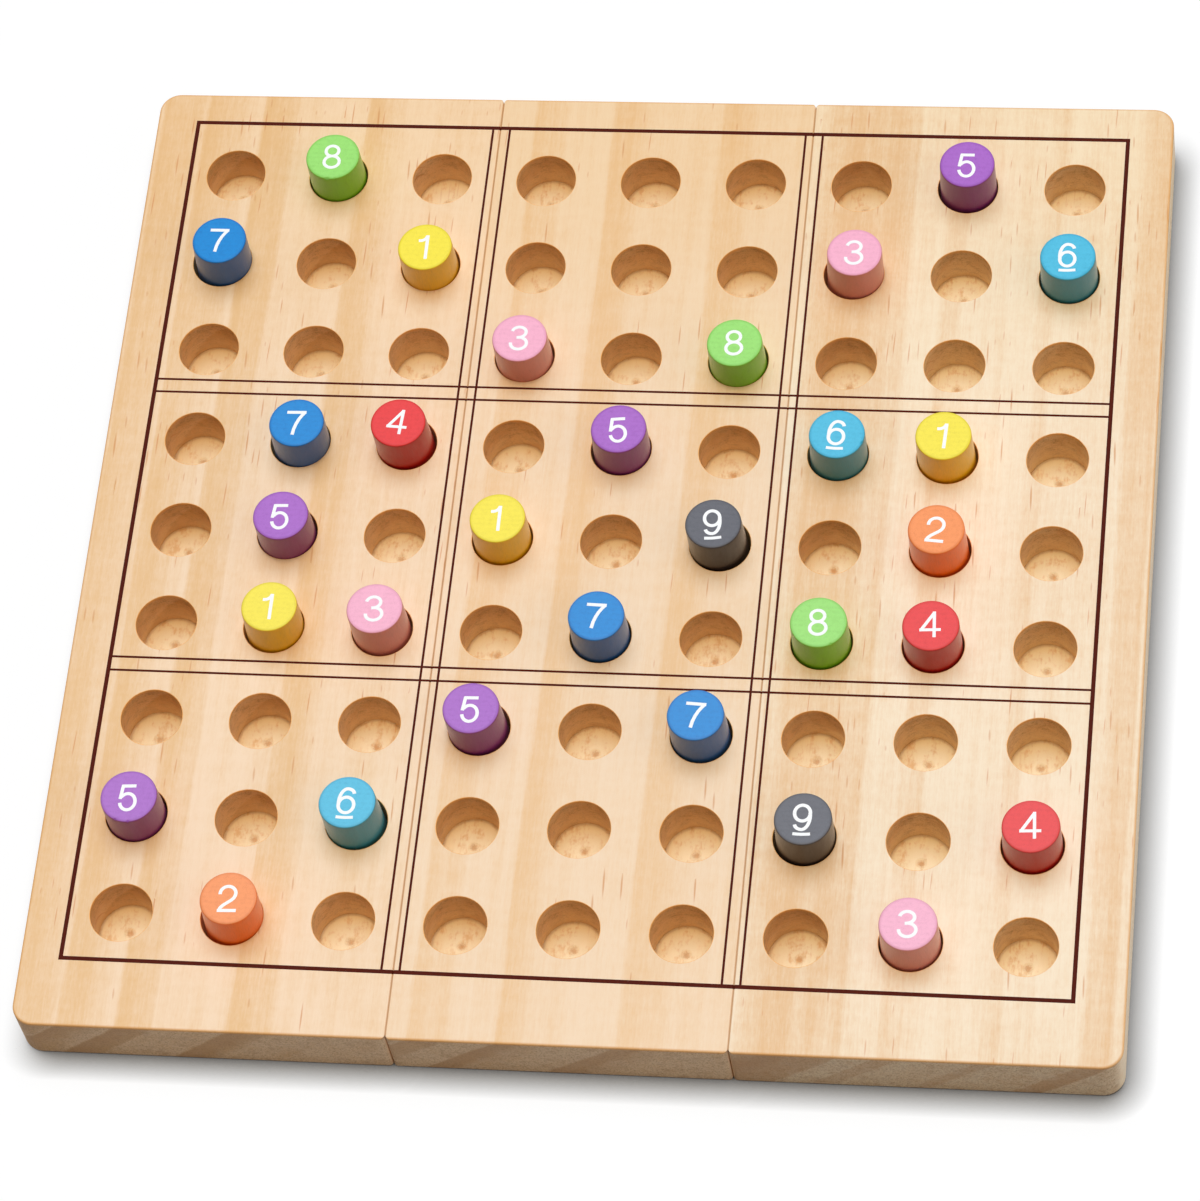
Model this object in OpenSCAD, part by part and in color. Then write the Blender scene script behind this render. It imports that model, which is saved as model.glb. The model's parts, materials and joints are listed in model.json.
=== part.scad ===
// Wooden sudoku board: three pine planks glued side by side on dowels, with a nine by nine grid of
// blind holes and a loose painted peg in each hole that holds a number.
// X runs across the planks to the right, Y along the grain to the back row, Z up.
// The origin is the centre of the board's underside.

/* [Hole grid] */
// Distance between neighbouring holes across the planks
pitch_x = 28.4; // [26:0.1:34]
// Distance between neighbouring holes along the grain
pitch_y = 27.85; // [26:0.05:34]
// Diameter of a peg hole
hole_d = 16; // [12:0.5:17]
// Depth of a peg hole, from the top face to its flat floor
hole_depth = 12; // [9:0.5:20]
// Bevel that breaks the rim of a peg hole
rim_bevel = 0.1; // [0.1:0.1:0.8]
// Diameter of the dimple that the drill's point leaves in a hole's floor
dimple_d = 3; // [1:0.5:5]
// Depth of that dimple below the floor
dimple_depth = 0.8; // [0.2:0.1:1.2]

/* [Board] */
// Wood left under a hole's floor
floor_t = 4; // [2:0.5:10]
// Wood from the left column's hole centres to the board's left side
left_margin = 24; // [14:0.1:40]
// Wood from the right column's hole centres to the board's right side
right_margin = 25.2; // [14:0.1:40]
// Wood from the front row's hole centres to the front end
front_margin = 31.8; // [14:0.1:50]
// Wood from the back row's hole centres to the back end
back_margin = 26.3; // [14:0.1:50]
// Radius of the board's four upright corners
corner_r = 5.5; // [2:0.5:12]
// Radius that eases the board's outer edges, top and bottom
arris_r = 0.5; // [0.4:0.1:1.8]
// Radius of a plank's upright corners where it meets its neighbour
seam_corner_r = 1.5; // [0.5:0.1:3]
// Bevel along a plank's edges at a seam, top and bottom
seam_bevel = 0.3; // [0.1:0.1:0.8]

/* [Dowels] */
// Diameter of a dowel
dowel_d = 6; // [4:0.5:7]
// Length of a dowel, half of it in each plank
dowel_l = 30; // [16:1:40]
// Bevel at a dowel's ends
dowel_bevel = 0.8; // [0.2:0.1:1.2]
// Room for glue round a dowel
glue_gap = 0.05; // [0.02:0.01:0.2]
// Room for glue past each end of a dowel
glue_well = 0.5; // [0.1:0.1:2]

/* [Pegs] */
// Height of a peg above the board
peg_proud = 10.5; // [5:0.5:30]
// Room round a peg's foot in its hole
peg_clearance = 0.25; // [0.1:0.05:0.5]
// How much narrower a peg's top is than its foot
peg_taper = 1; // [0:0.1:2]
// Bevel round a peg's foot and top
peg_bevel = 0.3; // [0.1:0.1:0.8]

/* [Hidden] */
$fn = 96;
// Overlap of a cutter past the face that it cuts
past = 1;

// Number on the peg in each hole, the back row first, 0 for an empty hole
numbers = [
    [0, 8, 0,  0, 0, 0,  0, 5, 0],
    [7, 0, 1,  0, 0, 0,  3, 0, 6],
    [0, 0, 0,  3, 0, 8,  0, 0, 0],
    [0, 7, 4,  0, 5, 0,  6, 1, 0],
    [0, 5, 0,  1, 0, 9,  0, 2, 0],
    [0, 1, 3,  0, 7, 0,  8, 4, 0],
    [0, 0, 0,  5, 0, 7,  0, 0, 0],
    [5, 0, 6,  0, 0, 0,  9, 0, 4],
    [0, 2, 0,  0, 0, 0,  0, 3, 0]
];
// Rows whose gap to the next row holds a dowel
dowel_rows = [1, 3, 6, 8];

side = 9;
plank_columns = 3;
wood_tones = ["BurlyWood", "Wheat", "NavajoWhite"];
dowel_tone = "Tan";
peg_paint = ["Gold", "DarkOrange", "Pink", "Red", "MediumPurple",
             "DeepSkyBlue", "RoyalBlue", "LimeGreen", "DimGray"];

plank_t = hole_depth + floor_t;
plank_l = front_margin + (side - 1) * pitch_y + back_margin;
board_w = left_margin + (side - 1) * pitch_x + right_margin;
left_x = -board_w / 2;
right_x = board_w / 2;
front_y = -plank_l / 2;
back_y = plank_l / 2;
peg_l = hole_depth + peg_proud;
peg_foot_d = hole_d - 2 * peg_clearance;
peg_top_d = peg_foot_d - peg_taper;

function column_x(col) = left_x + left_margin + (col - 1) * pitch_x;
function row_y(row) = front_y + front_margin + (side - row) * pitch_y;
function number_at(row, col) = numbers[row - 1][col - 1];
function peg_name(row, col) = str("peg_", number_at(row, col), "_row", row, "_col", col);

// The seams lie midway between the columns on either side of them.
seam_left_x = column_x(plank_columns) + pitch_x / 2;
seam_right_x = column_x(2 * plank_columns) + pitch_x / 2;

// A rectangle that stands on the X axis, with all four corners rounded.
module rounded_section(w, h, r) {
    translate([-w / 2 + r, 0]) square([w - 2 * r, h]);
    translate([-w / 2, r]) square([w, h - 2 * r]);
    for (x = [-1, 1], y = [r, h - r])
        translate([x * (w / 2 - r), y]) circle(r);
}

// The whole board before it is split: one prism along the grain, one across it, and four turned corners.
module board_blank() {
    rotate([90, 0, 0])
        linear_extrude(plank_l - 2 * corner_r, center = true)
            rounded_section(board_w, plank_t, arris_r);
    rotate([90, 0, 90])
        linear_extrude(board_w - 2 * corner_r, center = true)
            rounded_section(plank_l, plank_t, arris_r);
    for (x = [-1, 1], y = [-1, 1])
        translate([x * (board_w / 2 - corner_r), y * (plank_l / 2 - corner_r), 0])
            rotate_extrude()
                intersection() {
                    rounded_section(2 * corner_r, plank_t, arris_r);
                    square([corner_r, plank_t]);
                }
}

// What the drill takes out: the hole, its bevelled rim and the dimple of the drill's point.
module peg_hole() {
    translate([0, 0, floor_t]) cylinder(d = hole_d, h = hole_depth + past);
    translate([0, 0, plank_t - rim_bevel])
        cylinder(d1 = hole_d, d2 = hole_d + 2 * (rim_bevel + past), h = rim_bevel + past);
    translate([0, 0, floor_t - dimple_depth])
        cylinder(d1 = 0, d2 = dimple_d, h = dimple_depth);
}

// What sanding takes off both planks at the seam's front end: two rounded corners back to back.
module seam_notch() {
    translate([0, 0, -past])
        linear_extrude(plank_t + 2 * past)
            difference() {
                translate([-seam_corner_r, -past]) square([2 * seam_corner_r, seam_corner_r + past]);
                for (x = [-1, 1])
                    translate([x * seam_corner_r, seam_corner_r]) circle(seam_corner_r);
            }
}

// Everything cut along one seam: both ends' notches and the bevels along its top and bottom edges.
module seam_cuts() {
    translate([0, front_y, 0]) seam_notch();
    translate([0, back_y, 0]) mirror([0, 1, 0]) seam_notch();
    for (z = [0, plank_t])
        translate([0, 0, z])
            rotate([0, 45, 0])
                cube([seam_bevel * sqrt(2), plank_l + 2 * past, seam_bevel * sqrt(2)], center = true);
}

// Places its children at each dowel of the seam at x, lying across the seam.
module at_dowels(x) {
    for (row = dowel_rows)
        translate([x, row_y(row) - pitch_y / 2, plank_t / 2])
            rotate([0, 90, 0]) children();
}

module dowel_socket() {
    cylinder(d = dowel_d + 2 * glue_gap, h = dowel_l + 2 * glue_well, center = true);
}

module dowel() {
    rotate_extrude()
        polygon([
            [0, -dowel_l / 2],
            [dowel_d / 2 - dowel_bevel, -dowel_l / 2],
            [dowel_d / 2, -dowel_l / 2 + dowel_bevel],
            [dowel_d / 2, dowel_l / 2 - dowel_bevel],
            [dowel_d / 2 - dowel_bevel, dowel_l / 2],
            [0, dowel_l / 2]
        ]);
}

// The plank that holds the three columns from first_col on, between x_left and x_right.
module plank(first_col, x_left, x_right, tone) {
    color(tone)
        difference() {
            intersection() {
                board_blank();
                translate([x_left, front_y - past, -past])
                    cube([x_right - x_left, plank_l + 2 * past, plank_t + 2 * past]);
            }
            for (col = [first_col : first_col + plank_columns - 1], row = [1:side])
                translate([column_x(col), row_y(row), 0]) peg_hole();
            for (x = [seam_left_x, seam_right_x])
                if (x == x_left || x == x_right) {
                    translate([x, 0, 0]) seam_cuts();
                    at_dowels(x) dowel_socket();
                }
        }
}

module plank_left() {
    plank(1, left_x - past, seam_left_x, wood_tones[0]);
}

module plank_middle() {
    plank(1 + plank_columns, seam_left_x, seam_right_x, wood_tones[1]);
}

module plank_right() {
    plank(1 + 2 * plank_columns, seam_right_x, right_x + past, wood_tones[2]);
}

module dowels_left_seam() {
    color(dowel_tone) at_dowels(seam_left_x) dowel();
}

module dowels_right_seam() {
    color(dowel_tone) at_dowels(seam_right_x) dowel();
}

// The peg in the hole at that row and column, standing on the hole's floor.
module peg(row, col) {
    color(peg_paint[number_at(row, col) - 1])
        translate([column_x(col), row_y(row), floor_t])
            rotate_extrude()
                polygon([
                    [0, 0],
                    [peg_foot_d / 2 - peg_bevel, 0],
                    [peg_foot_d / 2, peg_bevel],
                    [peg_top_d / 2, peg_l - peg_bevel],
                    [peg_top_d / 2 - peg_bevel, peg_l],
                    [0, peg_l]
                ]);
}

plank_left();
plank_middle();
plank_right();
dowels_left_seam();
dowels_right_seam();
for (row = [1:side], col = [1:side])
    if (number_at(row, col) > 0)
        peg(row, col);
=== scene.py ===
import json
import math

import bmesh
import bpy
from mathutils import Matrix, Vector
from mathutils.geometry import delaunay_2d_cdt


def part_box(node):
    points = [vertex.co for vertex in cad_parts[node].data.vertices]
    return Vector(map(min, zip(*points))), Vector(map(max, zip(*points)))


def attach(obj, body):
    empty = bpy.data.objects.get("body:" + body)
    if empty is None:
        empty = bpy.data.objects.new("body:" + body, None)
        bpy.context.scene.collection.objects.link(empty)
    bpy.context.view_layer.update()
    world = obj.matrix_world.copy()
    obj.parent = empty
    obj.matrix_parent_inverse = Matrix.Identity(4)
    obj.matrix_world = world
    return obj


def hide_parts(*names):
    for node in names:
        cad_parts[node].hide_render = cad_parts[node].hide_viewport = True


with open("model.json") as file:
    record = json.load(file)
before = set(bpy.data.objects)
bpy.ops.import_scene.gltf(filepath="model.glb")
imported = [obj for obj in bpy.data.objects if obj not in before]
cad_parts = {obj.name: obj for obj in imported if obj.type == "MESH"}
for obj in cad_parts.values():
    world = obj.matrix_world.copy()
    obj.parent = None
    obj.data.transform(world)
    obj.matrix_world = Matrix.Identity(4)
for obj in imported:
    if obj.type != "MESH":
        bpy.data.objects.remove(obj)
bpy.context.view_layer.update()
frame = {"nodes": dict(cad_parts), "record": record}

nodes = frame["nodes"]


# The board: three planks of pine, 16 mm thick, glued edge to edge, sanded smooth and left bare.
# Blind holes are bored from the top with a flat bit, whose point leaves a dimple in each floor.
# The CAD solids keep their shape. Their grain is drawn in millimetres of the board's own frame.
MM = 0.001
board_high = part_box("plank_right")[1]
half_width = board_high.x / MM
half_length = board_high.y / MM
top_z = board_high.z / MM
seams = [corner.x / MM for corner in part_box("plank_middle")]
corner_round = 5.5
holes = {m["name"]: m for m in frame["record"]["mounts"] if m["kind"] == "bore"}
middle_hole = holes["hole_row5_col5"]
hole_radius = middle_hole["dims"]["r_mm"]
hole_floor_z = (middle_hole["pos_m"][2] / MM) - middle_hole["dims"]["length_mm"] / 2
grid_x = middle_hole["pos_m"][0] / MM
grid_y = middle_hole["pos_m"][1] / MM
pitch_x = (holes["hole_row1_col5"]["pos_m"][0] - holes["hole_row1_col4"]["pos_m"][0]) / MM
pitch_y = (holes["hole_row2_col5"]["pos_m"][1] - holes["hole_row3_col5"]["pos_m"][1]) / MM


def tint(red, green, blue):
    """A colour given in screen values, 0 to 255, as a linear colour."""
    def linear(value):
        value = value / 255
        return value / 12.92 if value <= 0.04045 else ((value + 0.055) / 1.055) ** 2.4
    return (linear(red), linear(green), linear(blue), 1.0)


def put(tree, kind, values=(), **settings):
    """Adds a shader node; values are set or linked in socket order, or by socket name."""
    node = tree.nodes.new("ShaderNode" + kind)
    for key, value in settings.items():
        setattr(node, key, value)
    pairs = values.items() if isinstance(values, dict) else enumerate(values)
    for key, value in pairs:
        if isinstance(value, bpy.types.NodeSocket):
            tree.links.new(value, node.inputs[key])
        elif value is not None:
            node.inputs[key].default_value = value
    return node


def calc(tree, operation, *values):
    return put(tree, "Math", values, operation=operation).outputs[0]


def times(tree, first, *others):
    for other in others:
        first = calc(tree, "MULTIPLY", first, other)
    return first


def total(tree, *parts):
    """The sum of values, each taken with its weight."""
    result = 0.0
    for value, weight in parts:
        result = calc(tree, "MULTIPLY_ADD", value, weight, result)
    return result


def without(tree, mask):
    return calc(tree, "SUBTRACT", 1.0, mask)


def fade(tree, value, start, end):
    """0 up to start and 1 from end on, with a soft change between them."""
    node = put(tree, "MapRange", (value, start, end, 0.0, 1.0), interpolation_type="SMOOTHSTEP")
    return node.outputs[0]


def mix(tree, amount, first, second, blend_type="MIX"):
    node = put(tree, "Mix", data_type="RGBA", blend_type=blend_type)
    for socket, value in ((node.inputs[0], amount), (node.inputs[6], first), (node.inputs[7], second)):
        if isinstance(value, bpy.types.NodeSocket):
            tree.links.new(value, socket)
        else:
            socket.default_value = value
    return node.outputs[2]


def stretch(tree, vector, x, y, z):
    return put(tree, "VectorMath", (vector, (x, y, z)), operation="MULTIPLY").outputs[0]


def noise(tree, vector, detail=2.0, roughness=0.5):
    """A noise between about -0.5 and 0.5."""
    node = put(tree, "TexNoise", {"Vector": vector, "Scale": 1.0, "Detail": detail,
                                  "Roughness": roughness})
    return calc(tree, "SUBTRACT", node.outputs[0], 0.5)


def group_of(name, inputs, outputs):
    group = bpy.data.node_groups.new(name, "ShaderNodeTree")
    for socket_name, kind in inputs:
        group.interface.new_socket(socket_name, in_out="INPUT", socket_type="NodeSocket" + kind)
    for socket_name, kind in outputs:
        group.interface.new_socket(socket_name, in_out="OUTPUT", socket_type="NodeSocket" + kind)
    return group, group.nodes.new("NodeGroupInput").outputs, group.nodes.new("NodeGroupOutput").inputs


def in_millimetres(tree):
    place = put(tree, "TexCoord").outputs["Object"]
    return stretch(tree, place, 1 / MM, 1 / MM, 1 / MM)


def ring_place_group():
    """Where a point lies across the growth rings, in millimetres of the top face."""
    group, given, gives = group_of(
        "ring_place", [("Slant", "Float"), ("Shift", "Vector")], [("Place", "Float")])
    point = in_millimetres(group)
    x, y, z = put(group, "SeparateXYZ", (point,)).outputs
    shifted = put(group, "VectorMath", (point, given["Shift"]), operation="ADD").outputs[0]
    slow = noise(group, stretch(group, shifted, 0.012, 0.006, 0.012), 1.0)
    quick = noise(group, stretch(group, shifted, 0.16, 0.016, 0.16), 2.0)
    wander = total(group, (slow, 4.0), (quick, 1.6))
    depth = times(group, calc(group, "SUBTRACT", top_z, z), given["Slant"])
    lean = times(group, y, -0.012)
    place = calc(group, "ADD", calc(group, "ADD", x, depth), calc(group, "ADD", wander, lean))
    group.links.new(place, gives["Place"])
    return group


def hole_distance(tree, x, y):
    """Distance in millimetres from the axis of the nearest hole."""
    holes_each_way = 4.0

    def offset(value, middle, pitch):
        value = calc(tree, "SUBTRACT", value, middle)
        step = calc(tree, "ROUND", calc(tree, "DIVIDE", value, pitch))
        step = calc(tree, "MAXIMUM", calc(tree, "MINIMUM", step, holes_each_way), -holes_each_way)
        return calc(tree, "SUBTRACT", value, times(tree, step, pitch))

    across = calc(tree, "POWER", offset(x, grid_x, pitch_x), 2.0)
    along = calc(tree, "POWER", offset(y, grid_y, pitch_y), 2.0)
    return calc(tree, "SQRT", calc(tree, "ADD", across, along))


def pine_group():
    """Bare sanded pine: fibres, resin flecks, end grain, bored holes, eased edges and glued seams."""
    group, given, gives = group_of(
        "bare_pine",
        [("Late", "Float"), ("Shift", "Vector"), ("Flecks", "Float"), ("Early Wood", "Color"),
         ("Late Wood", "Color"), ("Painted Front Sheen", "Color")],
        [("Color", "Color"), ("Roughness", "Float"), ("Height", "Float")])
    point = in_millimetres(group)
    x, y, z = put(group, "SeparateXYZ", (point,)).outputs
    facing = put(group, "SeparateXYZ", (put(group, "NewGeometry").outputs["Normal"],)).outputs
    shifted = put(group, "VectorMath", (point, given["Shift"]), operation="ADD").outputs[0]

    # Where the bored holes are: their upright walls and their flat floors
    from_hole = hole_distance(group, x, y)
    inside = without(group, fade(group, from_hole, hole_radius - 0.05, hole_radius + 0.25))
    inside = times(group, inside, fade(group, z, 1.0, 2.5))
    upright = without(group, fade(group, calc(group, "ABSOLUTE", facing[2]), 0.3, 0.7))
    wall = times(group, inside, upright)
    below = without(group, fade(group, z, hole_floor_z + 0.1, hole_floor_z + 0.6))
    on_floor = times(group, inside, without(group, upright), below)

    # Fibres along the grain, fine grit and soft clouds of tone
    broad = noise(group, stretch(group, shifted, 0.30, 0.010, 0.30), 2.0, 0.6)
    fine = noise(group, stretch(group, shifted, 3.4, 0.10, 3.4), 2.0, 0.6)
    grit = noise(group, stretch(group, shifted, 1.6, 0.5, 1.6), 2.0, 0.6)
    curl = noise(group, stretch(group, shifted, 0.12, 0.35, 0.12), 2.0, 0.6)
    cloud = noise(group, stretch(group, shifted, 0.03, 0.018, 0.03), 1.0)
    tone = total(group, (broad, 1.0), (fine, 0.6), (grit, 0.7), (curl, 0.5), (cloud, 0.6))
    tone = calc(group, "MULTIPLY_ADD", given["Late"], 0.8, tone)
    color = mix(group, fade(group, tone, -0.50, 1.20), given["Early Wood"], given["Late Wood"])

    # Painted sheen: the planks are paler and cooler towards the front, light painted into the colour
    front = times(group, fade(group, y, 135.0, 20.0), without(group, inside))
    color = mix(group, front, color, given["Painted Front Sheen"], "MULTIPLY")

    # Short resin canals, cut lengthwise on the faces, in loose clusters
    flat = put(group, "CombineXYZ", (total(group, (x, 1.0), (z, 0.6)), y, 0.0)).outputs[0]
    flat = put(group, "VectorMath", (flat, given["Shift"]), operation="ADD").outputs[0]
    cluster = noise(group, stretch(group, flat, 0.07, 0.012, 0.0), 1.0)
    likely = total(group, (fade(group, cluster, -0.05, 0.25), 2.4), (1.0, 0.2))
    fewer = total(group, (fade(group, y, -120.0, -10.0), 0.55), (1.0, 0.45))
    likely = times(group, given["Flecks"], likely, fewer)
    cell = (2.3, 15.0, 1.0)
    cells = put(group, "VectorMath", (flat, cell), operation="DIVIDE").outputs[0]
    canal = put(group, "TexVoronoi", {"Vector": cells, "Scale": 1.0}, voronoi_dimensions="2D")
    chance, short, lean = put(group, "SeparateColor", (canal.outputs["Color"],)).outputs
    away = put(group, "VectorMath", (cells, canal.outputs["Position"]), operation="SUBTRACT").outputs[0]
    across, along, _ = put(group, "SeparateXYZ", (stretch(group, away, *cell),)).outputs
    slope = times(group, calc(group, "SUBTRACT", lean, 0.5), 0.07)
    across = calc(group, "MULTIPLY_ADD", along, slope, across)
    across = calc(group, "DIVIDE", across, calc(group, "MULTIPLY_ADD", lean, 0.18, 0.16))
    along = calc(group, "DIVIDE", along, calc(group, "MULTIPLY_ADD", short, 4.2, 0.9))
    far = calc(group, "MULTIPLY_ADD", across, across, times(group, along, along))
    fleck = without(group, fade(group, far, 0.0, 1.0))
    fleck = times(group, fleck, calc(group, "LESS_THAN", chance, likely))
    end_grain = fade(group, calc(group, "ABSOLUTE", facing[1]), 0.45, 0.85)
    strength = calc(group, "MULTIPLY_ADD", short, 0.35, 0.30)
    fleck = times(group, fleck, without(group, end_grain), strength)
    color = mix(group, fleck, color, mix(group, lean, tint(214, 128, 72), tint(206, 130, 62)))

    # End grain drinks the light: greyer, with dark bands of rings, blots and pores
    pores = noise(group, stretch(group, shifted, 2.4, 2.4, 2.4), 2.0, 0.7)
    blot = noise(group, stretch(group, shifted, 0.35, 0.35, 0.5), 2.0, 0.6)
    end_color = mix(group, 1.0, color, tint(226, 221, 214), "MULTIPLY")
    ring_bands = times(group, given["Late"], 0.75)
    end_color = mix(group, ring_bands, end_color, tint(172, 132, 100))
    blots = times(group, fade(group, blot, -0.05, 0.35), 0.8)
    end_color = mix(group, blots, end_color, tint(180, 142, 108))
    specks = times(group, fade(group, grit, -0.05, 0.25), 0.6)
    end_color = mix(group, specks, end_color, tint(160, 122, 90))
    end_color = mix(group, fade(group, pores, 0.0, 0.26), end_color, tint(150, 110, 80))
    open_end = calc(group, "MULTIPLY_ADD", inside, -0.65, 0.85)
    color = mix(group, times(group, end_grain, open_end), color, end_color)

    # Bored holes: burnished walls, warmed partly as painted shade, with the bit's rings, turned floors,
    # a scorched dimple, and a fuzzy rim with a painted highlight
    drag = noise(group, stretch(group, shifted, 0.4, 0.4, 3.2), 2.0, 0.6)
    # A warmer, darker copy of the wood on the walls: partly burnish, partly painted shade
    wall_color = mix(group, 1.0, color, tint(253, 239, 217), "MULTIPLY")
    torn = total(group, (drag, 0.6), (pores, 0.7), (blot, 0.7))
    torn = times(group, fade(group, torn, -0.10, 0.40), 0.64)
    wall_color = mix(group, torn, wall_color, tint(152, 100, 52))
    deep = times(group, fade(group, z, top_z - 2.0, hole_floor_z), 0.35)
    wall_color = mix(group, deep, wall_color, tint(255, 235, 200))
    color = mix(group, wall, color, wall_color)
    turned = calc(group, "SINE", times(group, from_hole, 5.2))
    # The floors are paler than the top: partly fresh-cut wood, partly painted light for the light that
    # reaches down into the holes
    floor_color = mix(group, 0.65, color, tint(249, 232, 190))
    floor_tone = total(group, (turned, 0.03), (blot, 1.4), (broad, 0.9), (grit, 0.9), (pores, 0.4))
    floor_tone = times(group, fade(group, floor_tone, -0.05, 0.5), 0.6)
    floor_color = mix(group, floor_tone, floor_color, tint(222, 164, 96))
    # Painted shade: the floor darkens where it meets the wall
    painted_floor_edge_shade = times(group, fade(group, from_hole, hole_radius - 1.0, hole_radius - 0.1), 0.35)
    floor_color = mix(group, painted_floor_edge_shade, floor_color, tint(170, 115, 60))
    color = mix(group, on_floor, color, floor_color)
    ragged = calc(group, "MULTIPLY_ADD", pores, 1.6, from_hole)
    scorch = times(group, without(group, fade(group, ragged, 0.3, 1.4)), on_floor, 0.6)
    color = mix(group, scorch, color, tint(192, 128, 68))
    # Painted highlight: a ragged golden line round each hole's rim and just down its wall
    rim = without(group, fade(group, from_hole, hole_radius + 0.08, hole_radius + 0.20))
    rim = times(group, rim, fade(group, z, top_z - 1.2, top_z - 0.3))
    rim = times(group, rim, calc(group, "MULTIPLY_ADD", grit, 1.0, 0.80))
    color = mix(group, rim, color, tint(250, 182, 98))

    # Eased outer edges show a thin golden line, partly worn wood and partly a painted highlight, and glue
    # darkens the seams
    past_x = calc(group, "SUBTRACT", calc(group, "ABSOLUTE", x), half_width - corner_round)
    past_y = calc(group, "SUBTRACT", calc(group, "ABSOLUTE", y), half_length - corner_round)
    round_x = calc(group, "MAXIMUM", past_x, 0.0)
    round_y = calc(group, "MAXIMUM", past_y, 0.0)
    reach = calc(group, "MULTIPLY_ADD", round_x, round_x, times(group, round_y, round_y))
    reach = calc(group, "SQRT", reach)
    short_of = calc(group, "MINIMUM", calc(group, "MAXIMUM", past_x, past_y), 0.0)
    reach = calc(group, "ADD", reach, short_of)
    arris = fade(group, reach, corner_round - 0.8, corner_round - 0.2)
    arris = times(group, arris, fade(group, z, top_z - 0.9, top_z - 0.35), 0.65)
    color = mix(group, arris, color, tint(222, 158, 82))
    left_seam, right_seam = (calc(group, "ABSOLUTE", calc(group, "SUBTRACT", x, at)) for at in seams)
    seam = without(group, fade(group, calc(group, "MINIMUM", left_seam, right_seam), 0.06, 0.30))
    color = mix(group, times(group, seam, 0.7), color, tint(184, 128, 72))

    rough = total(group, (1.0, 0.60), (fine, 0.25), (end_grain, 0.12))
    height = total(group, (fine, 1.0), (grit, 0.4), (broad, 0.5),
                   (times(group, turned, on_floor), 0.10),
                   (times(group, pores, end_grain), 2.5),
                   (times(group, drag, wall), 1.2))
    group.links.new(color, gives["Color"])
    group.links.new(rough, gives["Roughness"])
    group.links.new(height, gives["Height"])
    return group


ring_place = ring_place_group()
bare_pine = pine_group()


def new_material(name):
    material = bpy.data.materials.new(name)
    material.use_nodes = True
    material.node_tree.nodes.clear()
    tree = material.node_tree
    shader = put(tree, "BsdfPrincipled")
    output = put(tree, "OutputMaterial")
    tree.links.new(shader.outputs[0], output.inputs["Surface"])
    return material, tree, shader


def pine(name, left, right, rings, shift, flecks, early, late, painted_front_sheen, slant):
    """Pine for the plank from left to right. A dark ring is a row of places with its darkness at each.
    The rings go on past the plank's sides, because they slant down through its thickness."""
    ring_room = 24.0
    ring_edge = 1.0
    material, tree, shader = new_material(name)
    place = put(tree, "Group", node_tree=ring_place)
    place.inputs["Slant"].default_value = slant
    place.inputs["Shift"].default_value = shift
    low = left - ring_room
    high = right + ring_room
    along = put(tree, "MapRange", (place.outputs["Place"], low, high, 0.0, 1.0)).outputs[0]
    ramp = put(tree, "ValToRGB", (along,))
    stops = []
    for ring in rings:
        stops += [(ring[0][0] - ring_edge, 0.0)] + ring + [(ring[-1][0] + ring_edge, 0.0)]
    ramp.color_ramp.elements[0].position = 0.0
    ramp.color_ramp.elements[0].color = (0, 0, 0, 1)
    ramp.color_ramp.elements[1].position = 1.0
    ramp.color_ramp.elements[1].color = (0, 0, 0, 1)
    for stop, dark in sorted(stops):
        element = ramp.color_ramp.elements.new((stop - low) / (high - low))
        element.color = (dark, dark, dark, 1)
    wood = put(tree, "Group", node_tree=bare_pine)
    tree.links.new(ramp.outputs[0], wood.inputs["Late"])
    wood.inputs["Shift"].default_value = shift
    wood.inputs["Flecks"].default_value = flecks
    wood.inputs["Early Wood"].default_value = early
    wood.inputs["Late Wood"].default_value = late
    wood.inputs["Painted Front Sheen"].default_value = painted_front_sheen
    bump = put(tree, "Bump", {"Strength": 0.35, "Distance": 0.00012, "Height": wood.outputs["Height"]})
    tree.links.new(wood.outputs["Color"], shader.inputs["Base Color"])
    tree.links.new(wood.outputs["Roughness"], shader.inputs["Roughness"])
    tree.links.new(bump.outputs[0], shader.inputs["Normal"])
    shader.inputs["Specular IOR Level"].default_value = 0.3
    return material


def finish_node(name, material):
    nodes[name].data.materials.clear()
    nodes[name].data.materials.append(material)


finish_node("plank_left", pine(
    "pine_left", -half_width, seams[0],
    rings=[[(-137.5, 0.9), (-127.0, 0.4)], [(-125.0, 1.0), (-113.0, 0.15)],
           [(-110.0, 1.0), (-101.2, 0.6)], [(-81.0, 0.9), (-75.0, 0.8), (-69.0, 0.0)],
           [(-60.0, 0.0), (-55.0, 0.2)]],
    shift=(0.0, 0.0, 0.0), flecks=0.45, early=tint(247, 214, 174), late=tint(232, 185, 126),
    painted_front_sheen=(1.02, 1.066, 1.18, 1.0), slant=1.0))
finish_node("plank_middle", pine(
    "pine_middle", seams[0], seams[1],
    rings=[[(-35.0, 0.75), (-26.5, 0.45)],
           [(-13.2, 0.9), (-8.0, 0.8), (-5.5, 0.35), (3.0, 0.0)],
           [(16.2, 0.75), (21.5, 0.75), (24.0, 0.4), (33.0, 0.0)]],
    shift=(310.0, 170.0, 40.0), flecks=0.11, early=tint(244, 211, 168), late=tint(234, 187, 129),
    painted_front_sheen=(1.035, 1.10, 1.28, 1.0), slant=1.2))
finish_node("plank_right", pine(
    "pine_right", seams[1], half_width,
    rings=[[(44.0, 0.4), (49.0, 0.8), (53.5, 1.0), (61.0, 0.7), (69.8, 0.55)],
           [(80.0, 0.4), (85.0, 0.35)], [(105.5, 0.3), (109.0, 0.4)], [(130.5, 0.45), (137.0, 0.8)]],
    shift=(730.0, 520.0, 90.0), flecks=0.45, early=tint(249, 226, 189), late=tint(232, 186, 132),
    painted_front_sheen=(1.02, 1.06, 1.17, 1.0), slant=1.1))


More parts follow.
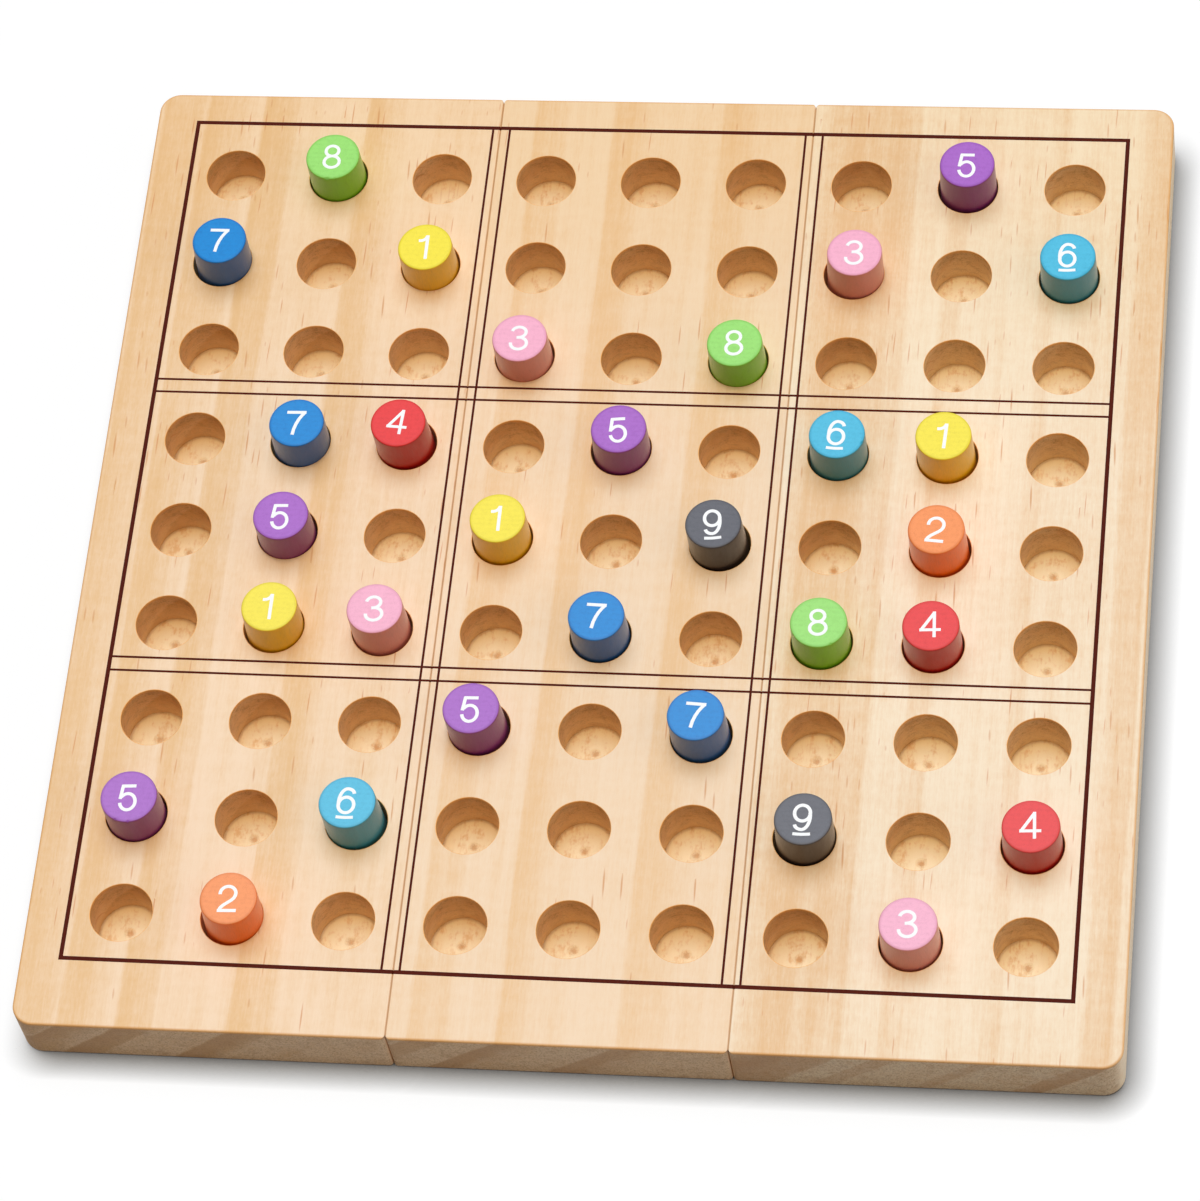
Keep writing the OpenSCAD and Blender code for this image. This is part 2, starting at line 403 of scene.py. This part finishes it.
# Dowels: beech pins, 6 mm across and turned smooth, glued across each seam inside the planks.
# They are hidden once the board is glued, and only their plain raw wood needs a finish.
def beech():
    material, tree, shader = new_material("beech")
    point = in_millimetres(tree)
    streak = noise(tree, stretch(tree, point, 0.15, 2.5, 2.5), 3.0)
    ray = put(tree, "TexVoronoi", {"Vector": stretch(tree, point, 0.5, 3.0, 3.0), "Scale": 1.0})
    speck = without(tree, fade(tree, ray.outputs["Distance"], 0.05, 0.25))
    color = mix(tree, fade(tree, streak, -0.3, 0.3), tint(222, 184, 146), tint(196, 150, 110))
    color = mix(tree, times(tree, speck, 0.5), color, tint(150, 100, 66))
    bump = put(tree, "Bump", {"Strength": 0.2, "Distance": 0.0001, "Height": streak})
    tree.links.new(color, shader.inputs["Base Color"])
    tree.links.new(fade(tree, streak, -1.2, 0.9), shader.inputs["Roughness"])
    tree.links.new(bump.outputs[0], shader.inputs["Normal"])
    return material


beech_wood = beech()
finish_node("dowels_left_seam", beech_wood)
finish_node("dowels_right_seam", beech_wood)


# Box lines: brown screen ink printed on the glued board, a heavy frame and double thin lines that
# part the nine boxes. The print sits a little towards the back and a touch askew, as it was laid on.
frame_half = 126.55
frame_line = 1.10
thin_line = 0.62
upright_lines = (40.28, 44.87)
level_lines = (40.23, 44.13)
print_x = grid_x - 0.19
print_y = 4.20
print_turn = math.radians(-0.230)
ink_film = 0.02
ink_lift = 0.004
seam_groove = 0.3
shortest_level_bar = 10


def film(name, outlines, thickness, base_z, material, groove=None):
    """A thin closed film with the joined shape of the outlines, in millimetres, lying at base_z."""
    points, faces = [], []
    for outline in outlines:
        faces.append(list(range(len(points), len(points) + len(outline))))
        points += [Vector(p) for p in outline]
    flat, _, cells, _, _, owners = delaunay_2d_cdt(points, [], faces, 1, 1e-5)
    filled = [cell for cell, owner in zip(cells, owners) if owner]
    used = sorted({corner for cell in filled for corner in cell})
    mesh = bmesh.new()
    lower, upper = {}, {}
    for corner in used:
        x, y = flat[corner]
        z = base_z + (groove(x) if groove else 0.0)
        lower[corner] = mesh.verts.new((x * MM, y * MM, z * MM))
        upper[corner] = mesh.verts.new((x * MM, y * MM, (z + thickness) * MM))
    sides = {}
    for cell in filled:
        mesh.faces.new([lower[corner] for corner in reversed(cell)])
        mesh.faces.new([upper[corner] for corner in cell])
        for start, end in zip(cell, cell[1:] + cell[:1]):
            sides.setdefault((min(start, end), max(start, end)), []).append((start, end))
    for shared in sides.values():
        if len(shared) == 1:
            start, end = shared[0]
            mesh.faces.new((lower[start], lower[end], upper[end], upper[start]))
    bmesh.ops.recalc_face_normals(mesh, faces=mesh.faces)
    data = bpy.data.meshes.new(name)
    mesh.to_mesh(data)
    mesh.free()
    data.materials.append(material)
    piece = bpy.data.objects.new(name, data)
    bpy.context.scene.collection.objects.link(piece)
    return piece


def line_ink():
    """Brown ink that lets a little of the grain through."""
    material, tree, shader = new_material("brown_line_ink")
    point = in_millimetres(tree)
    grain = noise(tree, stretch(tree, point, 3.0, 0.25, 3.0), 3.0, 0.6)
    pores = noise(tree, stretch(tree, point, 5.0, 2.0, 5.0), 2.0)
    color = mix(tree, fade(tree, grain, -0.05, 0.45), tint(80, 26, 15), tint(104, 44, 28))
    color = mix(tree, fade(tree, pores, 0.20, 0.40), color, tint(140, 80, 56))
    bump = put(tree, "Bump", {"Strength": 0.2, "Distance": 0.00005, "Height": grain})
    tree.links.new(color, shader.inputs["Base Color"])
    tree.links.new(fade(tree, grain, -1.3, 0.9), shader.inputs["Roughness"])
    tree.links.new(bump.outputs[0], shader.inputs["Normal"])
    shader.inputs["Specular IOR Level"].default_value = 0.05
    return material


def bar(x0, x1, y0, y1):
    return [(x0, y0), (x1, y0), (x1, y1), (x0, y1)]


def box_line_bars():
    """The lines as bars in the print's own frame: level ones first, then upright ones."""
    bars = []
    half = frame_line / 2
    for y in (-frame_half, frame_half):
        bars.append((-frame_half - half, frame_half + half, y - half, y + half))
    for y in (-level_lines[1], -level_lines[0], level_lines[0], level_lines[1]):
        bars.append((-frame_half, frame_half, y - thin_line / 2, y + thin_line / 2))
    for x in (-frame_half, frame_half):
        bars.append((x - half, x + half, -frame_half, frame_half))
    for x in (-upright_lines[1], -upright_lines[0], upright_lines[0], upright_lines[1]):
        bars.append((x - thin_line / 2, x + thin_line / 2, -frame_half, frame_half))
    return [bar(*b) for b in bars]


def on_board(outline):
    """From the print's own frame to the board."""
    cos, sin = math.cos(print_turn), math.sin(print_turn)
    return [(print_x + cos * x - sin * y, print_y + sin * x + cos * y) for x, y in outline]


def part_at_seams(outline):
    """Cuts a level bar where it crosses a seam, so that the ink can follow the groove."""
    cuts = [seam + step for seam in seams for step in (-seam_groove, 0.0, seam_groove)]
    (ax, ay), (bx, by), (cx, cy), (dx, dy) = outline
    inner = [c for c in cuts if max(ax, dx) < c < min(bx, cx)]
    if not inner or bx - ax < shortest_level_bar:
        return [outline]
    lower = [(ax, ay)] + [(c, ay + (by - ay) * (c - ax) / (bx - ax)) for c in inner] + [(bx, by)]
    upper = [(dx, dy)] + [(c, dy + (cy - dy) * (c - dx) / (cx - dx)) for c in inner] + [(cx, cy)]
    return [[lower[i], lower[i + 1], upper[i + 1], upper[i]] for i in range(len(lower) - 1)]


def groove_depth(x):
    return -max(0.0, seam_groove - min(abs(x - seam) for seam in seams))


line_outlines = []
for outline in box_line_bars():
    line_outlines += part_at_seams(on_board(outline))
box_lines = film("printed_box_lines", line_outlines, ink_film, top_z + ink_lift, line_ink(), groove_depth)
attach(box_lines, "board")


# Pegs: lengths of beech rod turned to a slight taper, 15.5 mm at the foot and 14.5 mm at the top,
# dipped in satin paint, one colour for each number. They stand loose in the holes.
# Each is turned afresh here with a rounded rim, a few knocks, and its lean in the roomy hole.
peg_top_radius = 7.25
rim_round = 0.42
foot_bevel = 0.3
ink_room = 0.03
side_heights = (4.0, 8.0, 12.0, 16.0, 19.0, 20.5, 21.3)
top_radii = (6.3, 5.0, 2.5, 0.0)
rim_steps = 5
turning_segments = 160
knock_reach = 0.5
knock_inward = 0.8
knock_down = 0.6
bare_from = 0.2
# Each paint: the top's colour, then a darker, warmer copy for the side, which is painted shade
peg_paints = {
    1: ("paint_yellow", tint(254, 235, 63), tint(235, 177, 8)),
    2: ("paint_orange", tint(254, 152, 81), tint(245, 104, 8)),
    3: ("paint_pink", tint(253, 181, 206), tint(211, 126, 113)),
    4: ("paint_red", tint(239, 53, 49), tint(181, 12, 10)),
    5: ("paint_purple", tint(175, 104, 202), tint(128, 42, 110)),
    6: ("paint_light_blue", tint(78, 193, 227), tint(51, 134, 149)),
    7: ("paint_blue", tint(0, 138, 215), tint(33, 89, 151)),
    8: ("paint_green", tint(160, 229, 114), tint(123, 190, 26)),
    9: ("paint_grey", tint(95, 94, 100), tint(46, 34, 32)),
}
rim_knocks = {
    (8, 1): [(-112, 0.5, 0.22), (-84, 0.4, 0.25)],
    (1, 2): [(-96, 0.8, 0.30), (-80, 0.4, 0.20)],
    (6, 7): [(-60, 0.5, 0.22)],
    (4, 7): [(-20, 0.6, 0.25)],
}
peg_leans = {
    (0.9, 0.0): [(2, 1), (2, 7), (9, 2)],
    (-0.85, 0.1): [(4, 3), (5, 6), (7, 4), (8, 3)],
    (0.0, -0.9): [(2, 3), (3, 4), (3, 6), (5, 2)],
    (0.65, -0.65): [(4, 2)],
    (0.3, 0.6): [(1, 8)],
    (0.0, -0.4): [(1, 2), (8, 1)],
    (0.45, -0.1): [(4, 5), (4, 7), (6, 2), (8, 7)],
    (-0.5, 0.2): [(4, 8), (5, 8), (6, 3), (7, 6)],
}


def paint_group():
    """Satin paint on turned rod: mottled over the end grain, with painted shade down the side, bare at
    knocks.
    """
    group, given, gives = group_of(
        "satin_paint", [("Paint", "Color"), ("Deep", "Color"), ("Side", "Color")],
        [("Color", "Color"), ("Roughness", "Float"), ("Gloss", "Float"), ("Height", "Float")])
    point = in_millimetres(group)
    peg = put(group, "ObjectInfo").outputs
    seed = times(group, peg["Random"], 200.0)
    offset = put(group, "CombineXYZ", (seed, seed, 0.0)).outputs[0]
    moved = put(group, "VectorMath", (point, offset), operation="ADD").outputs[0]
    facing_up = put(group, "SeparateXYZ", (put(group, "NewGeometry").outputs["Normal"],)).outputs[2]
    side = without(group, fade(group, facing_up, 0.35, 0.85))
    mottle = noise(group, stretch(group, moved, 0.9, 0.9, 0.3), 3.0, 0.6)
    speckle = noise(group, stretch(group, moved, 4.5, 4.5, 0.5), 2.0, 0.6)
    flattened = stretch(group, moved, 0.09, 0.9, 0.0)
    from_pith = put(group, "VectorMath", (flattened,), operation="LENGTH").outputs[1]
    rings = calc(group, "SINE", times(group, from_pith, 5.0))
    tone = total(group, (mottle, 0.5), (speckle, 0.6), (rings, 0.03))
    tone = fade(group, tone, -0.12, 0.42)
    color = mix(group, tone, given["Paint"], given["Deep"])

    # Darker round the rim. The side takes its own darker, warmer paint, painted shade for the board's
    # warm bounce light, and pegs nearer the front are paler, a painted sheen
    turned = put(group, "Attribute", attribute_name="radius").outputs["Fac"]
    color = mix(group, times(group, fade(group, turned, 6.3, 6.9), 0.6), color, given["Deep"])
    painted_side_shade = mix(group, times(group, tone, 0.2), given["Side"], (0.0, 0.0, 0.0, 1.0))
    color = mix(group, side, color, painted_side_shade)
    place = put(group, "SeparateXYZ", (peg["Location"],)).outputs[1]
    # Painted sheen: pegs nearer the front get paler tops
    painted_peg_sheen = times(group, fade(group, place, 0.14, -0.14), 0.06, without(group, side))
    color = mix(group, painted_peg_sheen, color, (1.0, 1.0, 1.0, 1.0))
    bare = put(group, "Attribute", attribute_name="knock").outputs["Fac"]
    color = mix(group, fade(group, bare, 0.35, 0.75), color, given["Deep"])
    rough = calc(group, "MULTIPLY_ADD", speckle, 0.3, 0.36)
    gloss = times(group, side, calc(group, "MULTIPLY_ADD", mottle, 0.5, 0.75))
    height = calc(group, "MULTIPLY_ADD", mottle, 0.6, speckle)
    group.links.new(color, gives["Color"])
    group.links.new(rough, gives["Roughness"])
    group.links.new(gloss, gives["Gloss"])
    group.links.new(height, gives["Height"])
    return group


satin_paint = paint_group()


def peg_paint(name, color, side):
    material, tree, shader = new_material(name)
    paint = put(tree, "Group", node_tree=satin_paint)
    paint.inputs["Paint"].default_value = color
    # The side's darker, warmer paint is painted shade
    paint.inputs["Side"].default_value = side
    paint.inputs["Deep"].default_value = tuple(0.82 * c ** 1.15 for c in color[:3]) + (1.0,)
    bump = put(tree, "Bump", {"Strength": 0.25, "Distance": 0.00008,
                              "Height": paint.outputs["Height"]})
    tree.links.new(paint.outputs["Color"], shader.inputs["Base Color"])
    tree.links.new(paint.outputs["Roughness"], shader.inputs["Roughness"])
    tree.links.new(bump.outputs[0], shader.inputs["Normal"])
    tree.links.new(paint.outputs["Gloss"], shader.inputs["Coat Weight"])
    shader.inputs["Coat Roughness"].default_value = 0.36
    shader.inputs["Specular IOR Level"].default_value = 0.15
    return material


def turned_peg(name, foot_radius, height, knocks, lean, material):
    """A peg turned about its own axis, standing on its own origin, its level top moved by its lean."""
    top = height - ink_room
    profile = [(0.0, 0.0), (foot_radius - foot_bevel, 0.0), (foot_radius, foot_bevel)]
    taper = (foot_radius - peg_top_radius) / (top - rim_round - foot_bevel)
    for z in side_heights:
        profile.append((foot_radius - taper * (z - foot_bevel), z))
    for step in range(rim_steps + 1):
        turn = math.radians(90 * step / rim_steps)
        profile.append((peg_top_radius - rim_round + rim_round * math.cos(turn),
                        top - rim_round + rim_round * math.sin(turn)))
    profile += [(radius, top) for radius in top_radii]
    mesh = bmesh.new()
    mark = mesh.verts.layers.float.new("knock")
    turned = mesh.verts.layers.float.new("radius")
    rings = []
    for radius, z in profile:
        ring = []
        for step in range(turning_segments if radius else 1):
            angle = 2 * math.pi * step / turning_segments
            blow = 0.0
            for degrees, width, depth in knocks:
                away = (angle - math.radians(degrees) + math.pi) % (2 * math.pi) - math.pi
                near_rim = math.hypot(max(0.0, peg_top_radius - radius), max(0.0, top - z))
                along_rim = away * peg_top_radius
                blow += depth * math.exp(-(along_rim / width) ** 2 - (near_rim / knock_reach) ** 2)
            r = max(0.0, radius - blow * knock_inward)
            x = r * math.cos(angle) + lean[0] * z / height
            y = r * math.sin(angle) + lean[1] * z / height
            vert = mesh.verts.new((x * MM, y * MM, (z - blow * knock_down) * MM))
            vert[mark] = min(1.0, blow / bare_from)
            vert[turned] = radius
            ring.append(vert)
        rings.append(ring)
    for lower, upper in zip(rings, rings[1:]):
        for step in range(turning_segments):
            after = (step + 1) % turning_segments
            if len(lower) == 1:
                mesh.faces.new((lower[0], upper[after], upper[step]))
            elif len(upper) == 1:
                mesh.faces.new((lower[step], lower[after], upper[0]))
            else:
                mesh.faces.new((lower[step], lower[after], upper[after], upper[step]))
    bmesh.ops.recalc_face_normals(mesh, faces=mesh.faces)
    for face in mesh.faces:
        face.smooth = True
    data = bpy.data.meshes.new(name)
    mesh.to_mesh(data)
    mesh.free()
    data.materials.append(material)
    piece = bpy.data.objects.new(name, data)
    bpy.context.scene.collection.objects.link(piece)
    return piece


paints = {number: peg_paint(*finish) for number, finish in peg_paints.items()}
leans = {place: lean for lean, places in peg_leans.items() for place in places}
pegs = []
for name in sorted(n for n in nodes if n.startswith("peg_")):
    number, row, col = (int(word.strip("rowcl")) for word in name.split("_")[1:])
    low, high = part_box(name)
    foot_radius = (high.x - low.x) / 2 / MM
    lean = leans.get((row, col), (0.0, 0.0))
    piece = turned_peg("painted_" + name, foot_radius, (high.z - low.z) / MM,
                       rim_knocks.get((row, col), []), lean, paints[number])
    piece.location = ((low.x + high.x) / 2, (low.y + high.y) / 2, low.z)
    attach(piece, name)
    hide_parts(name)
    top_middle = Vector((piece.location.x + lean[0] * MM, piece.location.y + lean[1] * MM, high.z))
    pegs.append((name, number, row, col, top_middle))


# Numbers: white ink pad-printed on each peg's top, light figures 7.6 mm high with square-cut strokes.
# The 6 and the 9 are underlined, so that a turned peg can't be misread. Pegs are dropped in by hand,
# so the figures stand a few degrees off, and each sits a touch left of its top's middle.
figure_stroke = {4: 0.82}
usual_stroke = 0.88
figure_rise = {4: 0.25, 5: -0.5}
usual_rise = -0.1
figure_x = -0.15
figure_film = 0.022
underlined = (6, 9)
underlined_rise = 0.45
underline = [(-2.2, -4.12), (-1.1, -4.22), (0.0, -4.26), (1.1, -4.22), (2.2, -4.12)]
underline_stroke = 0.82
figure_turns = {
    -4: [(4, 3), (5, 8)],
    -3: [(4, 8), (7, 6)],
    -2: [(4, 7), (6, 5)],
    1: [(4, 2), (7, 4), (8, 7)],
    2: [(2, 7), (2, 9), (3, 4), (5, 2), (9, 2)],
    3: [(1, 2), (6, 8), (8, 1), (8, 9)],
    4: [(3, 6), (6, 7), (9, 8)],
    6: [(4, 5), (5, 6), (6, 3)],
}


def arc(x, y, across, up, start, end):
    """Points along part of an ellipse, from one angle to the other, in degrees."""
    count = max(4, int(abs(end - start) / 7))
    angles = [math.radians(start + (end - start) * i / count) for i in range(count + 1)]
    return [(x + across * math.cos(a), y + up * math.sin(a)) for a in angles]


def figure_strokes(number):
    """The middle lines of a figure's strokes, in millimetres, with the figure's middle at 0."""
    if number == 1:
        return [[(0.65, 3.72), (0.65, -3.72)],
                [(-1.66, 1.98), (-1.36, 2.0)] + arc(-1.25, 3.74, 1.82, 1.74, -82, -8)]
    if number == 2:
        return [arc(0.0, 1.36, 1.98, 1.98, 186, 0)
                + [(1.88, 0.72), (1.58, 0.12), (1.02, -0.45), (0.1, -1.12), (-0.93, -1.85),
                   (-1.64, -2.6), (-1.95, -3.45)],
                [(-2.39, -3.335), (2.42, -3.335)]]
    if number == 3:
        return [arc(-0.02, 1.84, 1.84, 1.58, 168, -72) + [(0.0, 0.22), (-0.63, 0.22)],
                [(-0.31, 0.22)] + arc(0.0, -1.58, 2.12, 1.82, 84, -188)]
    if number == 4:
        return [[(1.03, 3.70), (1.03, -3.70)], [(-2.70, -1.54), (2.70, -1.54)],
                [(-2.37, -1.66), (1.01, 3.33)]]
    if number == 5:
        return [[(-1.65, 3.37), (1.97, 3.37)], [(-1.33, 3.66), (-1.90, -0.28)],
                arc(0.02, -1.07, 1.96, 2.29, 146, -172)]
    if number == 7:
        return [[(-2.56, 3.19), (2.54, 3.19)],
                [(2.15, 3.15), (1.47, 2.29), (0.73, 1.10), (0.12, -0.33), (-0.32, -1.81),
                 (-0.59, -3.63)]]
    if number == 8:
        return [arc(0.0, 1.84, 1.74, 1.63, 0, 180), arc(0.0, 1.84, 1.74, 1.63, 180, 360),
                arc(0.0, -1.63, 2.06, 1.84, 0, 180), arc(0.0, -1.63, 2.06, 1.84, 180, 360)]
    six = [arc(0.03, -1.18, 1.97, 2.19, 0, 180), arc(0.03, -1.18, 1.97, 2.19, 180, 360),
           arc(0.10, -0.30, 2.04, 3.68, 196, 90) + arc(0.10, 1.82, 1.75, 1.56, 82, 8)]
    if number == 6:
        return six
    return [[(-x, -y) for x, y in stroke] for stroke in six]


def ribbon(points, width):
    """The outline of a stroke of even width with square ends."""
    left, right = [], []
    for i, (x, y) in enumerate(points):
        before = points[max(0, i - 1)]
        after = points[min(len(points) - 1, i + 1)]
        ways = []
        for start, end in ((before, (x, y)), ((x, y), after)):
            step = Vector((end[0] - start[0], end[1] - start[1]))
            if step.length > 1e-9:
                ways.append(step.normalized())
        way = sum(ways, Vector((0.0, 0.0))).normalized()
        reach = width / 2 / max(0.5, way.dot(ways[0]))
        left.append((x - way.y * reach, y + way.x * reach))
        right.append((x + way.y * reach, y - way.x * reach))
    return right + left[::-1]


def white_ink():
    material, tree, shader = new_material("white_figure_ink")
    point = in_millimetres(tree)
    cover = noise(tree, stretch(tree, point, 2.2, 2.2, 2.2), 3.0, 0.6)
    color = mix(tree, fade(tree, cover, 0.05, 0.5), tint(250, 250, 248), tint(228, 228, 230))
    bump = put(tree, "Bump", {"Strength": 0.15, "Distance": 0.00005, "Height": cover})
    tree.links.new(color, shader.inputs["Base Color"])
    tree.links.new(fade(tree, cover, -1.0, 1.2), shader.inputs["Roughness"])
    tree.links.new(bump.outputs[0], shader.inputs["Normal"])
    shader.inputs["Specular IOR Level"].default_value = 0.35
    return material


figure_ink = white_ink()
turns = {place: turn for turn, places in figure_turns.items() for place in places}
for name, number, row, col, top_middle in pegs:
    width = figure_stroke.get(number, usual_stroke)
    strokes = figure_strokes(number)
    if number in underlined:
        strokes = [[(x, y + underlined_rise) for x, y in points] for points in strokes]
    outlines = [ribbon(points, width) for points in strokes]
    if number in underlined:
        outlines.append(ribbon(underline, underline_stroke))
    figure = film("number_" + name[4:], outlines, figure_film, 0.0, figure_ink)
    figure.rotation_euler = (0, 0, math.radians(turns.get((row, col), 0)))
    rise = figure_rise.get(number, usual_rise)
    figure.location = (top_middle.x + figure_x * MM, top_middle.y + rise * MM,
                       top_middle.z - (ink_room - ink_lift) * MM)
    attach(figure, name)


# Stage: a plain white table, on which the board stands in a close shadow, mostly painted on the table
# from occlusion with a little shadow cast by the lamps. The light is a wide cool window towards the back,
# a warm lamp overhead, a warm pale room, and a white wall on the right.
# The camera looks down at the board from the front, a little from the right.
table_size = 12.0
table_drop = 0.0001
shadow_reach = 0.0078
shadow_lean = (-0.40, 0.60, 0.69)
shadow_depth = 1.35
even_white = 0.88


def looked_at(tree):
    """1 for what the camera sees, also in a reflection or through glass, and 0 for other light."""
    ray = put(tree, "LightPath").outputs
    seen = calc(tree, "MAXIMUM", ray["Is Camera Ray"], ray["Is Glossy Ray"])
    return calc(tree, "MAXIMUM", seen, ray["Is Transmission Ray"])


def table():
    """White wherever it is looked at, but for a shadow close round the board, mostly painted from
    occlusion.
    """
    material = bpy.data.materials.new("white_table")
    material.use_nodes = True
    tree = material.node_tree
    tree.nodes.clear()
    leaning = put(tree, "CombineXYZ", shadow_lean).outputs[0]
    near = put(tree, "AmbientOcclusion", {"Distance": shadow_reach, "Normal": leaning})
    shade = calc(tree, "MULTIPLY_ADD", near.outputs["AO"], shadow_depth, 1.0 - shadow_depth)
    shade = calc(tree, "MAXIMUM", shade, 0.0)
    # Painted shadow: the table glows less where the board is near
    painted_shadow_glow = put(tree, "Emission", {"Color": (1, 1, 1, 1), "Strength": shade})
    lit = put(tree, "BsdfDiffuse", {"Color": (1.07, 1.07, 1.07, 1)})
    seen = put(tree, "MixShader", (even_white, lit.outputs[0], painted_shadow_glow.outputs[0]))
    bounce = put(tree, "BsdfDiffuse", {"Color": (0.56, 0.56, 0.56, 1)})
    surface = put(tree, "MixShader", (looked_at(tree), bounce.outputs[0], seen.outputs[0]))
    output = put(tree, "OutputMaterial")
    tree.links.new(surface.outputs[0], output.inputs["Surface"])
    material.cycles.emission_sampling = "NONE"
    return material


table_mesh = bpy.data.meshes.new("table")
table_corners = [(x * table_size / 2, y * table_size / 2, -table_drop)
                 for x, y in ((-1, -1), (1, -1), (1, 1), (-1, 1))]
table_mesh.from_pydata(table_corners, [], [(0, 1, 2, 3)])
table_mesh.materials.append(table())
table_top = bpy.data.objects.new("table", table_mesh)
bpy.context.scene.collection.objects.link(table_top)


def lamp(name, energy, color, spread, place):
    """A far lamp in the direction of place; spread is its width in degrees as seen from the board."""
    light = bpy.data.lights.new(name, "SUN")
    light.energy = energy
    light.color = color
    light.angle = math.radians(spread)
    stand = bpy.data.objects.new(name, light)
    stand.rotation_euler = Vector(place).to_track_quat("Z", "Y").to_euler()
    bpy.context.scene.collection.objects.link(stand)


lamp("soft_key", 2.05, (0.585, 0.755, 1.0), 40, (-0.05, 0.43, 1.0))
lamp("warm_overhead", 1.27, (1.0, 0.825, 0.560), 14, (0.0, 0.02, 1.0))

world = bpy.data.worlds.new("pale_room")
bpy.context.scene.world = world
world.use_nodes = True
sky = world.node_tree
sky.nodes.clear()
x, y, up = put(sky, "SeparateXYZ", (put(sky, "TexCoord").outputs["Generated"],)).outputs
overhead = calc(sky, "MULTIPLY_ADD", fade(sky, up, 0.1, 0.9), 0.112, 0.063)
room = put(sky, "Background", {"Color": (1.0, 0.80, 0.56, 1), "Strength": overhead})
right = calc(sky, "MAXIMUM", total(sky, (x, 0.97), (y, -0.25)), 0.0)
beside = times(sky, right, right, right, right, 1.2)
wall = put(sky, "Background", {"Color": (0.97, 1.0, 1.03, 1), "Strength": beside})
lit = put(sky, "AddShader", (room.outputs[0], wall.outputs[0]))
white = put(sky, "Background", {"Color": (1, 1, 1, 1), "Strength": 1.0})
shown = put(sky, "MixShader", (looked_at(sky), lit.outputs[0], white.outputs[0]))
sky.links.new(shown.outputs[0], put(sky, "OutputWorld").inputs["Surface"])

camera = bpy.data.cameras.new("camera")
camera.sensor_fit = "HORIZONTAL"
camera.sensor_width = 36.0
camera.lens = 160.713
camera.clip_start = 0.05
camera.clip_end = 30.0
camera_object = bpy.data.objects.new("camera", camera)
camera_object.location = (0.19858, -0.68076, 1.20173)
camera_object.rotation_euler = (math.radians(29.7574), math.radians(6.4754), math.radians(5.5836))
bpy.context.scene.collection.objects.link(camera_object)
bpy.context.scene.camera = camera_object
bpy.context.scene.view_settings.view_transform = "Standard"
